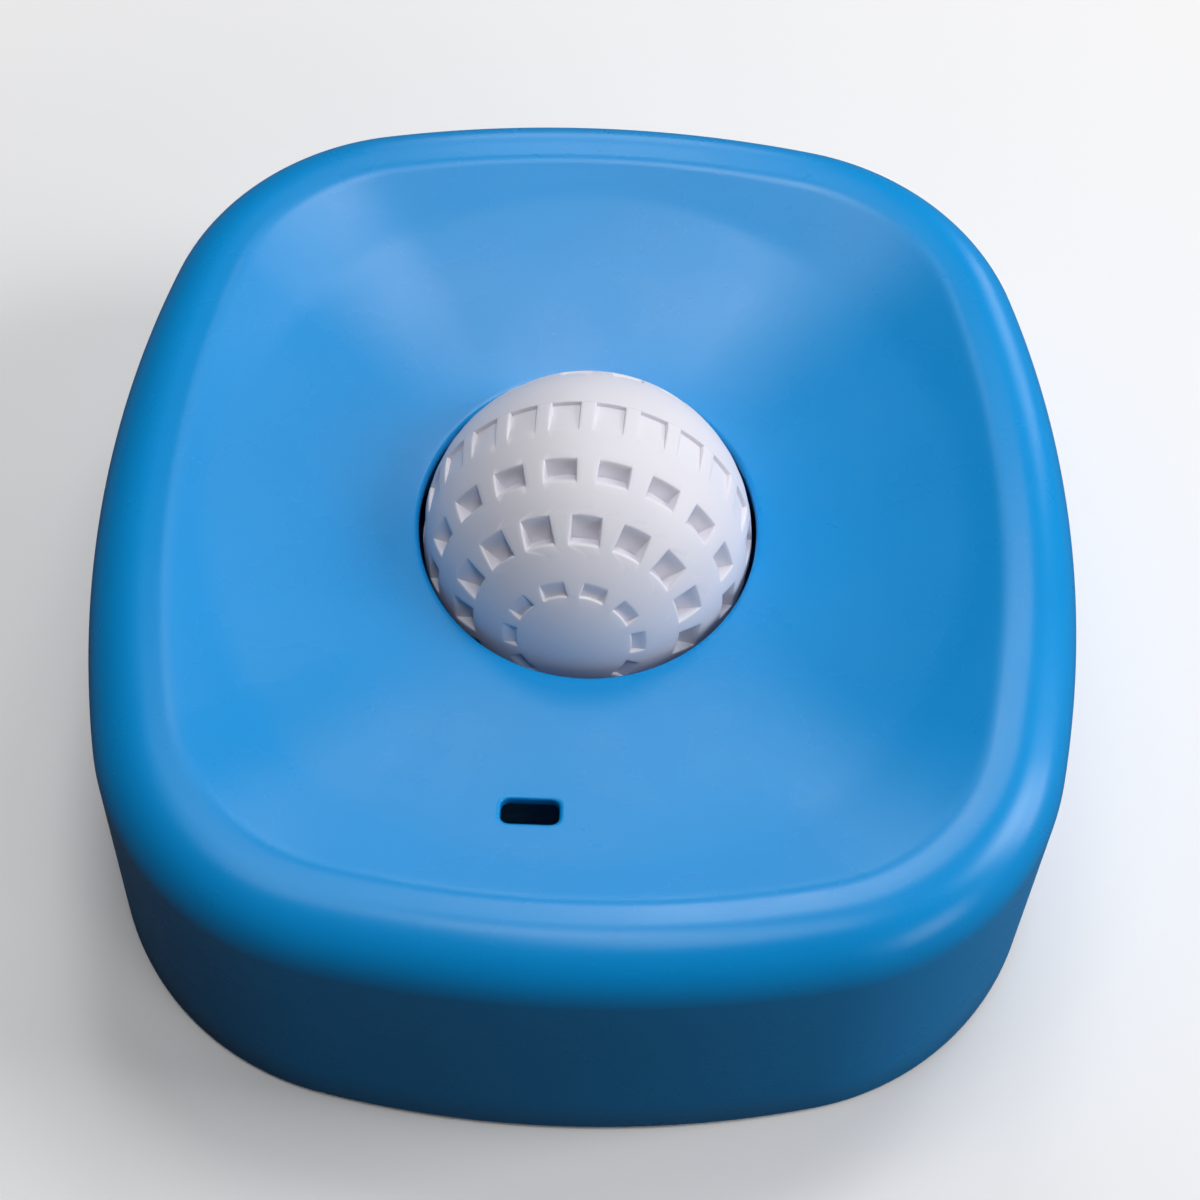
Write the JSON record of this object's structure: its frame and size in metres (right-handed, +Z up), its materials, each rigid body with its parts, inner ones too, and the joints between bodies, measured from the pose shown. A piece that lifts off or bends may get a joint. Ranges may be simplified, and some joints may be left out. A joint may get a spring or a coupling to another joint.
{
  "type": "lick bowl",
  "caption": "Rounded square pet lick bowl: a dish shell that lifts off a water tank, with a notched ball turning in the middle to carry water up to the tongue.",
  "frame": {"origin": "on the table under the middle of the bowl, at the undersides of the feet", "axes": "+Z up, -Y towards the front with the drain slot, +X to the right seen from the front"},
  "size_m": [0.2114, 0.2214, 0.0874],
  "materials": {
    "blue_plastic": "satin",
    "white_plastic": "satin",
    "seal_rubber": "matte",
    "foot_rubber": "matte"
  },
  "bodies": {
    "base": {"water_tank": "blue_plastic", "rim_seal": "seal_rubber", "ball_cradle": "white_plastic", "foot_front_left": "foot_rubber", "foot_front_right": "foot_rubber", "foot_rear_left": "foot_rubber", "foot_rear_right": "foot_rubber"},
    "shell": {"bowl_shell": "blue_plastic"},
    "ball": {"ball_front_shell": "white_plastic", "ball_rear_shell": "white_plastic"}
  },
  "joints": [
    {"name": "shell_lift", "type": "slide", "parent": "base", "child": "shell", "axis": [0, 0, 1], "range_m": [0, 0.06]},
    {"name": "ball_roll", "type": "hinge", "parent": "base", "child": "ball", "pos_m": [0, 0, 0.0529], "axis": [1, 0, 0], "continuous": true}
  ]
}
